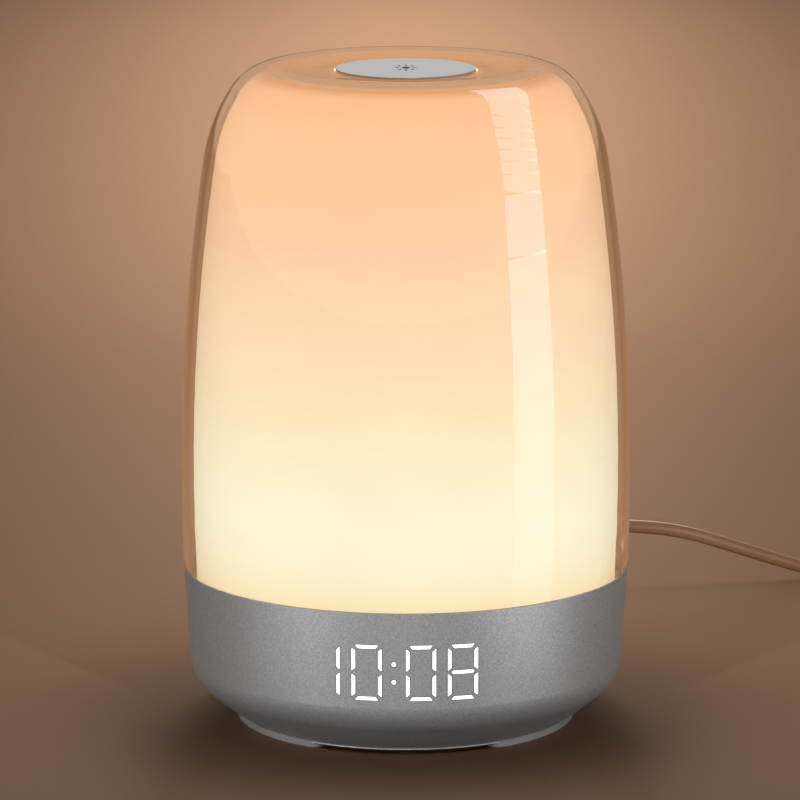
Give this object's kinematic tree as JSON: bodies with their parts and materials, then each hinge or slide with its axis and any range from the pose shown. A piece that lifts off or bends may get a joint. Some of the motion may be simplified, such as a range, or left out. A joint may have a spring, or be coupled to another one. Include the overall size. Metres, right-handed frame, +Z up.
{
  "type": "sunrise alarm clock",
  "caption": "Bedside wake-up light: a clear domed shell over a glowing diffuser, on a round base with a hidden digital display.",
  "frame": {"origin": "middle of the body, on the surface that its feet stand on", "axes": "+Z up through the light; -Y to the front with the display; +Y to the rear with the buttons and the jack; +X to the right as seen from the front"},
  "size_m": [0.2263, 0.1934, 0.1612],
  "materials": {
    "clear_shell": "clear, polished",
    "opal_diffuser": "opal, lit from inside",
    "satin_metal": "satin",
    "grey_paint": "fine metallic flake, satin",
    "cover_grey": "matte moulded",
    "foot_rubber": "matte",
    "button_grey": "satin moulded",
    "white_plastic": "matte",
    "black_plastic": "matte",
    "black_metal": "satin",
    "steel": "bright",
    "capacitor_metal": "bright",
    "magnet_grey": "dull",
    "cone_black": "matte",
    "foam_black": "foam",
    "board_green": "solder mask",
    "board_white": "white solder mask",
    "led_yellow": "phosphor",
    "pipe_clear": "clear",
    "socket_white": "matte",
    "ribbon_grey": "satin",
    "wire_red": "satin",
    "cord_taupe": "satin",
    "tie_black": "matte"
  },
  "bodies": {
    "root": {"base_housing": "grey_paint", "board_screws": "steel", "board_sockets": "socket_white", "bottom_cover": "cover_grey", "capacitors": "capacitor_metal", "cell_holder": "black_plastic", "clamp_washer": "steel", "coin_cell": "steel", "cord_coil": "cord_taupe", "cord_tail": "cord_taupe", "cord_tie": "tie_black", "cover_screws": "steel", "dc_barrel": "steel", "dc_jack": "black_plastic", "dc_plug": "cord_taupe", "deck_screws": "steel", "diffuser": "opal_diffuser", "display_board": "board_green", "display_leds": "led_yellow", "display_ribbon": "ribbon_grey", "foot_left": "foot_rubber", "foot_rear": "foot_rubber", "foot_right": "foot_rubber", "jack_pin": "steel", "led_board": "board_white", "led_header": "socket_white", "led_lead": "wire_red", "leds": "led_yellow", "light_deck": "white_plastic", "light_pipe_block": "black_plastic", "light_pipes": "pipe_clear", "main_board": "board_green", "main_chips": "black_plastic", "outer_shell": "clear_shell", "power_cord": "cord_taupe", "rear_board": "board_green", "rear_ribbon": "ribbon_grey", "spacer_washer": "black_plastic", "speaker_basket": "black_metal", "speaker_cone": "cone_black", "speaker_gasket": "foam_black", "speaker_lead": "wire_red", "speaker_magnet": "magnet_grey", "stud_nut": "steel", "switch_cans": "steel", "touch_disc": "satin_metal", "touch_lead": "wire_red", "touch_socket": "socket_white", "usb_plug": "cord_taupe", "usb_shell": "steel"},
    "button_time": {"button_time": "button_grey", "plunger_time": "black_plastic"},
    "button_alarm": {"button_alarm": "button_grey", "plunger_alarm": "black_plastic"},
    "button_minus": {"button_minus": "button_grey", "plunger_minus": "black_plastic"},
    "button_plus": {"button_plus": "button_grey", "plunger_plus": "black_plastic"},
    "button_sound": {"button_sound": "button_grey", "plunger_sound": "black_plastic"}
  },
  "joints": [
    {"name": "time_press", "type": "slide", "parent": "root", "child": "button_time", "axis": [0, -1, 0], "range_m": [0, 0.0005], "stiffness_N_per_m": 800, "springref_m": -0.0005},
    {"name": "alarm_press", "type": "slide", "parent": "root", "child": "button_alarm", "axis": [0, -1, 0], "range_m": [0, 0.0005], "stiffness_N_per_m": 800, "springref_m": -0.0005},
    {"name": "minus_press", "type": "slide", "parent": "root", "child": "button_minus", "axis": [0, -1, 0], "range_m": [0, 0.0005], "stiffness_N_per_m": 800, "springref_m": -0.0005},
    {"name": "plus_press", "type": "slide", "parent": "root", "child": "button_plus", "axis": [0, -1, 0], "range_m": [0, 0.0005], "stiffness_N_per_m": 800, "springref_m": -0.0005},
    {"name": "sound_press", "type": "slide", "parent": "root", "child": "button_sound", "axis": [0, -1, 0], "range_m": [0, 0.0005], "stiffness_N_per_m": 800, "springref_m": -0.0005}
  ]
}
